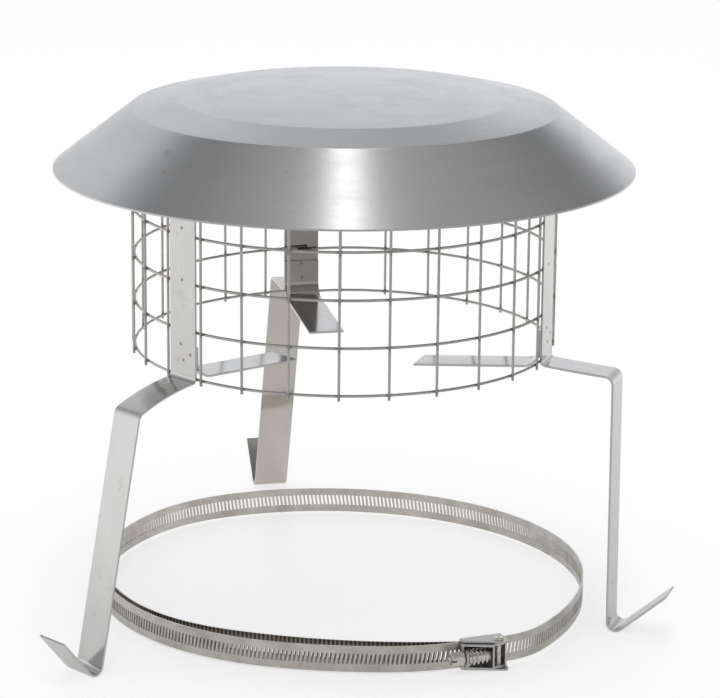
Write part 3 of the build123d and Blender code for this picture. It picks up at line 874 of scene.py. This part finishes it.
def carve(piece, *boxes):
    """Cut boxes out of a piece. Each has a middle and a size in mm and a turn in degrees."""
    for middle, size, turn in boxes:
        work = bmesh.new()
        bmesh.ops.create_cube(work, size=1)
        spot = Matrix.Translation(Vector(middle) * MM) @ Matrix.Rotation(radians(turn), 4, "Z")
        spot = lock_frame @ spot @ Matrix.Diagonal(Vector(size) * MM).to_4x4()
        bmesh.ops.transform(work, verts=work.verts, matrix=spot)
        mesh = bpy.data.meshes.new("cutter")
        work.to_mesh(mesh)
        work.free()
        cutter = new_object("cutter", mesh)
        cut = piece.modifiers.new("cut", "BOOLEAN")
        cut.object, cut.operation, cut.solver = cutter, "DIFFERENCE", "EXACT"
        settled(piece)
        bpy.data.objects.remove(cutter)
    return piece


print("lock stands at, in mm:", round(lock_at.real, 1), round(lock_at.imag, 1))

# %% [markdown]
# The saddle and the carrier keep the measured form: each is a merged copy whose edges are
# rounded. In the picture the cheeks are deep at the rivet and run out to nothing at the other
# end, and slanted cuts give both that outline. The carrier keeps a tongue in its middle, which
# is the bearing of the screw's neck.

# %% The saddle and the carrier
def dressed_copy(name, node, edge, *cuts):
    """A merged copy of a CAD node, with its flat faces whole again, cut and softened."""
    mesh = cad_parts[node].data.copy()
    mesh.materials.clear()
    mesh.materials.append(materials["lock_steel"])
    return softened(carve(face_outward(new_object(name, mesh), whole_faces=True), *cuts), edge)


CHEEK_CUT = ((15.8, 10.74, 0), (80, 20, 40), -23.9)
ARM_CUTS = [((17.17, 12.24, side * 9.9), (40, 20, 12), -25.3) for side in (1, -1)]
saddle = dressed_copy("saddle_pressing", "strap_saddle", 0.18, CHEEK_CUT)
place(saddle, "cap", "lock_steel", "strap_saddle")
carrier = dressed_copy("carrier_pressing", "screw_carrier", 0.15, *ARM_CUTS)
place(carrier, "carrier", "lock_steel", "screw_carrier")

# %% [markdown]
# The rivet is a turned shape, so the hat's recipe makes it too, upright on the origin. Its mesh
# is then moved to its place, while the object stays at the origin. Its head has a dimple.

# %% The rivet
PIN_R, PIN_HEAD_R, PIN_HEAD, DIMPLE_R, DIMPLE_FLOOR_R, DIMPLE = 1.5, 2.8, 1.2, 0.9, 0.6, 0.35


def turned_piece(name, corners, radii, segments, where):
    """A turned piece from its radii and heights, moved to where it belongs in the lock."""
    line = rounded([complex(*corner) for corner in corners], radii, radians(15))
    piece = cooked(name, turning, chain(name, line), "screw_steel", {"Segments": segments})
    face_outward(piece).data.transform(lock_frame @ where)
    return crisp(piece, 40)


end = BAND_WIDTH / 2 + LOCK_SHEET
top = end + PIN_HEAD
corners = [(0, -end), (PIN_R, -end), (PIN_R, end), (PIN_HEAD_R, end), (PIN_HEAD_R, top),
           (DIMPLE_R, top), (DIMPLE_FLOOR_R, top - DIMPLE), (0, top - DIMPLE)]
rivet_at = Matrix.Translation(Vector((PIN_X, SCREW_HEIGHT, 0)) * MM)
rivet = turned_piece("lock_rivet", corners, [0.3, 0.05, 0.1, 0.9, 0.2, 0.1], 32, rivet_at)
place(rivet, "cap", "screw_steel", "pivot_pin")

# %% [markdown]
# ## The worm screw
#
# The screw is a turned journal, a worm thread, a collar and a slotted hexagon head. The thread's
# radius depends on how far along and how far round a point is: together they run up a ramp, and
# a trapezium of that ramp gives the crest. It fades into its root at both ends.

# %% The thread
THREAD_R, ROOT_R, THREAD_FROM, THREAD_TO, FADE = 4.4, 3.3, -1.6, 11.6, 1.2
AROUND, ALONG, CREST_HALF, FLANK = 36, 110, 0.36, 0.16
rings = []
for k in range(ALONG + 1):
    x = THREAD_FROM + (THREAD_TO - THREAD_FROM) * k / ALONG
    fade = max(0.0, min(1.0, (x - THREAD_FROM) / FADE, (THREAD_TO - x) / FADE))
    rings.append([])
    for j in range(AROUND):
        angle, climb = 2 * pi * j / AROUND, (x / SLOT_PITCH - j / AROUND) % 1.0
        crest = min(1.0, max(0.0, (CREST_HALF - abs(climb - 0.5)) / FLANK))
        r = ROOT_R + (THREAD_R - ROOT_R) * crest * fade
        rings[-1].append(Vector((x, SCREW_HEIGHT + r * cos(angle), r * sin(angle))))
thread = ringed("thread", rings, "screw_steel")
thread.data.transform(lock_frame)
crisp(face_outward(thread), 50)
print("thread faces:", len(thread.data.polygons))

# %% [markdown]
# The turned ends come from the hat's recipe, laid along the screw. With only six segments it also
# makes the hexagon head, and a box then cuts the driver's slot. The parts turn together, so they
# are joined into one piece.

# %% The turned ends and the head, joined to the thread
JOURNAL_R, NECK_R, COLLAR_R, COLLAR = 1.6, 2.2, 3.8, 1.3
HEAD_ACROSS, HEAD_LENGTH, DRIVER_SLOT, DRIVER_DEPTH = 7.0, 6.0, 1.3, 2.5
JOURNAL_END, NECK_END, CHAMFER_R, CHAMFER = -3.2, 13.2, 0.7, 0.5
collar_end = NECK_END + COLLAR
head_r, head_end = HEAD_ACROSS / 2 / cos(pi / 6), collar_end + HEAD_LENGTH
along_screw = Matrix.Translation(Vector((0, SCREW_HEIGHT, 0)) * MM) @ Matrix.Rotation(pi / 2, 4, "Y")
journal = turned_piece("journal", [
    (0, JOURNAL_END), (JOURNAL_R, JOURNAL_END), (JOURNAL_R, THREAD_FROM), (0, THREAD_FROM)],
    [0.25, 0.05], 24, along_screw)
neck = turned_piece("neck", [
    (0, THREAD_TO), (NECK_R, THREAD_TO), (NECK_R, NECK_END), (COLLAR_R, NECK_END),
    (COLLAR_R, collar_end), (0, collar_end)], [0.05, 0.2, 0.3, 0.3], 40, along_screw)
head = turned_piece("head", [
    (0, collar_end), (head_r, collar_end), (head_r, head_end - CHAMFER),
    (head_r - CHAMFER_R, head_end), (0, head_end)], [0.05, 0.05, 0.05], 6, along_screw)
slot_box = ((head_end, SCREW_HEIGHT, 0), (2 * DRIVER_DEPTH, 2 * HEAD_ACROSS, DRIVER_SLOT), 0)
softened(carve(head, slot_box), 0.15)
work = bmesh.new()
for part in (thread, journal, neck, head):
    work.from_mesh(part.data)
    bpy.data.objects.remove(part)
mesh = bpy.data.meshes.new("turned_worm_screw")
work.to_mesh(mesh)
work.free()
mesh.materials.append(materials["screw_steel"])
place(new_object("turned_worm_screw", mesh), "screw", "screw_steel", "worm_screw")

# %% [markdown]
# ## A plain studio
#
# Bare metal shows what stands round it, so the room matters as much as the lamps. The room here
# is a white one that darkens above head height and brightens again low at the sides, which gives
# the hat its grey and its pale flanks. Only the camera sees the wall as pure white.

# %% The room
view_cos, view_sin = cos(radians(VIEW_TURN)), sin(radians(VIEW_TURN))
# Each stop is a height in the room, from level (0) to overhead (1), and its grey.
WALL_GREYS = ((0.0, 0.77), (0.10, 0.80), (0.19, 0.74), (0.27, 0.56), (0.36, 0.34), (0.45, 0.25),
              (0.56, 0.29), (0.80, 0.44), (1.0, 0.50))
world = bpy.data.worlds.new("studio")
scene.world = world
room = node_tree(world)
dx, dy, dz = room.split(room.add("TexCoord", output="Generated"))
side, back = view_cos * dx + view_sin * dy, (view_cos * dy - view_sin * dx).positive()
height = dz.math("ARCSINE") / (pi / 2) - 0.35 * back * back + 0.08 * side + 0.12 * abs(side)
flank = (abs(side) - 0.15).positive() * (0.25 - height).positive()
grey = room.mix(3.6 * flank, room.ramp(height, *WALL_GREYS), (1.15, 1.15, 1.15))
tint = room.mix(height.clamped(), (0.97, 0.99, 1.03), (1.01, 1.0, 0.97))
to_camera = room.add("LightPath", output="Is Camera Ray")
shown = room.mix(to_camera, room.mix(1.0, grey, tint, "MULTIPLY"), (1.0, 1.0, 1.0))
background = room.add("Background", {"Color": shown, "Strength": 1.0})
room.add("OutputWorld", {"Surface": background})
print("nodes in the room:", len(world.node_tree.nodes))

# %% [markdown]
# One long soft lamp overhead gives the bright band down the front of the hat. The floor is white
# card that keeps the shadows. A little light of its own lifts it to white for the camera, and
# another share, rising to the back, is what the metal sees of it.

# %% The lamp and the floor
turned_view = Matrix.Rotation(radians(-VIEW_TURN), 4, "Z")
LAMP_HEIGHT, LAMP_WIDTH, LAMP_LENGTH, LAMP_GLOW = 2.4, 0.20, 3.4, 2.9
lamp_data = bpy.data.lights.new("overhead lamp", "AREA")
lamp_data.shape, lamp_data.size, lamp_data.size_y = "RECTANGLE", LAMP_WIDTH, LAMP_LENGTH
lamp_data.energy = LAMP_GLOW * pi * LAMP_WIDTH * LAMP_LENGTH
lamp = new_object("overhead lamp", lamp_data)
lamp.matrix_world = turned_view @ Matrix.Translation((0.02, 0.35, LAMP_HEIGHT))

CARD_HALF, CARD_GAP, CARD_LIFT, FRONT_LIFT, BACK_LIFT = 5, 0.2, 0.56, 0.08, 0.62
LIFT_FROM, LIFT_RUN = -0.5, 1.1
card_mesh = bpy.data.meshes.new("floor")
card_mesh.from_pydata([(x * CARD_HALF, y * CARD_HALF, (FLOOR_Z - CARD_GAP) * MM)
                       for x, y in ((-1, -1), (1, -1), (1, 1), (-1, 1))], [], [(0, 1, 2, 3)])
floor = new_object("white_floor", card_mesh)
floor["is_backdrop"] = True
card = bpy.data.materials.new("white_card")
tree = node_tree(card)
at = tree.add("TexCoord", output="Object")
x, y, _ = tree.split(at)
colour = tree.mix(tree.noise(at, 300.0), (0.88, 0.88, 0.88), (0.90, 0.90, 0.895))
toward_back = ((y * view_cos - x * view_sin - LIFT_FROM) / LIFT_RUN).clamped()
rays = tree.add("LightPath", output="Is Camera Ray")
lift = rays.output("Is Glossy Ray") * (FRONT_LIFT + toward_back * (BACK_LIFT - FRONT_LIFT))
glow = tree.add("Emission", {"Color": (1, 1, 1, 1), "Strength": rays * CARD_LIFT + lift})
paper = tree.add("BsdfDiffuse", {"Color": colour})
tree.add("OutputMaterial", {"Surface": tree.add("AddShader", {0: paper, 1: glow})})
card_mesh.materials.append(card)
print("lamp and floor ready")

# %% [markdown]
# ## The camera
#
# The picture was taken from a little above the cap, with a long lens. The camera is described as
# a photographer would: how far back, how high, how far it looks down, and a slight tilt. All of
# that is then turned with the view.

# %% The camera
CAMERA_BACK, CAMERA_HEIGHT = 1.73496, 0.45970
LOOK_ASIDE, LOOK_DOWN, TILT = 0.0054, 0.2618, 0.009
FOCAL_PIXELS, PICTURE_WIDTH, SENSOR = 3264.4, 720, 36.0
camera_data = bpy.data.cameras.new("camera")
camera_data.sensor_fit, camera_data.sensor_width = "HORIZONTAL", SENSOR
camera_data.lens = FOCAL_PIXELS / PICTURE_WIDTH * SENSOR
camera = new_object("camera", camera_data)
stand = Matrix.Translation((0, -CAMERA_BACK, CAMERA_HEIGHT))
aim = Matrix.Rotation(-LOOK_ASIDE, 4, "Z") @ Matrix.Rotation(pi / 2 - LOOK_DOWN, 4, "X")
camera.matrix_world = turned_view @ stand @ aim @ Matrix.Rotation(TILT, 4, "Z")
scene.camera = camera
scene.view_settings.view_transform = "Standard"
print("lens in mm:", round(camera_data.lens, 1))

# %% [markdown]
# ## Check the size
#
# The dressed part must fill the same box as the measured one.

# %% Sizes
low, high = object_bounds()
gaps = [abs(new - old) / MM for new, old in zip((*low, *high), (*cad_low, *cad_high))]
print("largest difference in mm:", round(max(gaps), 2))
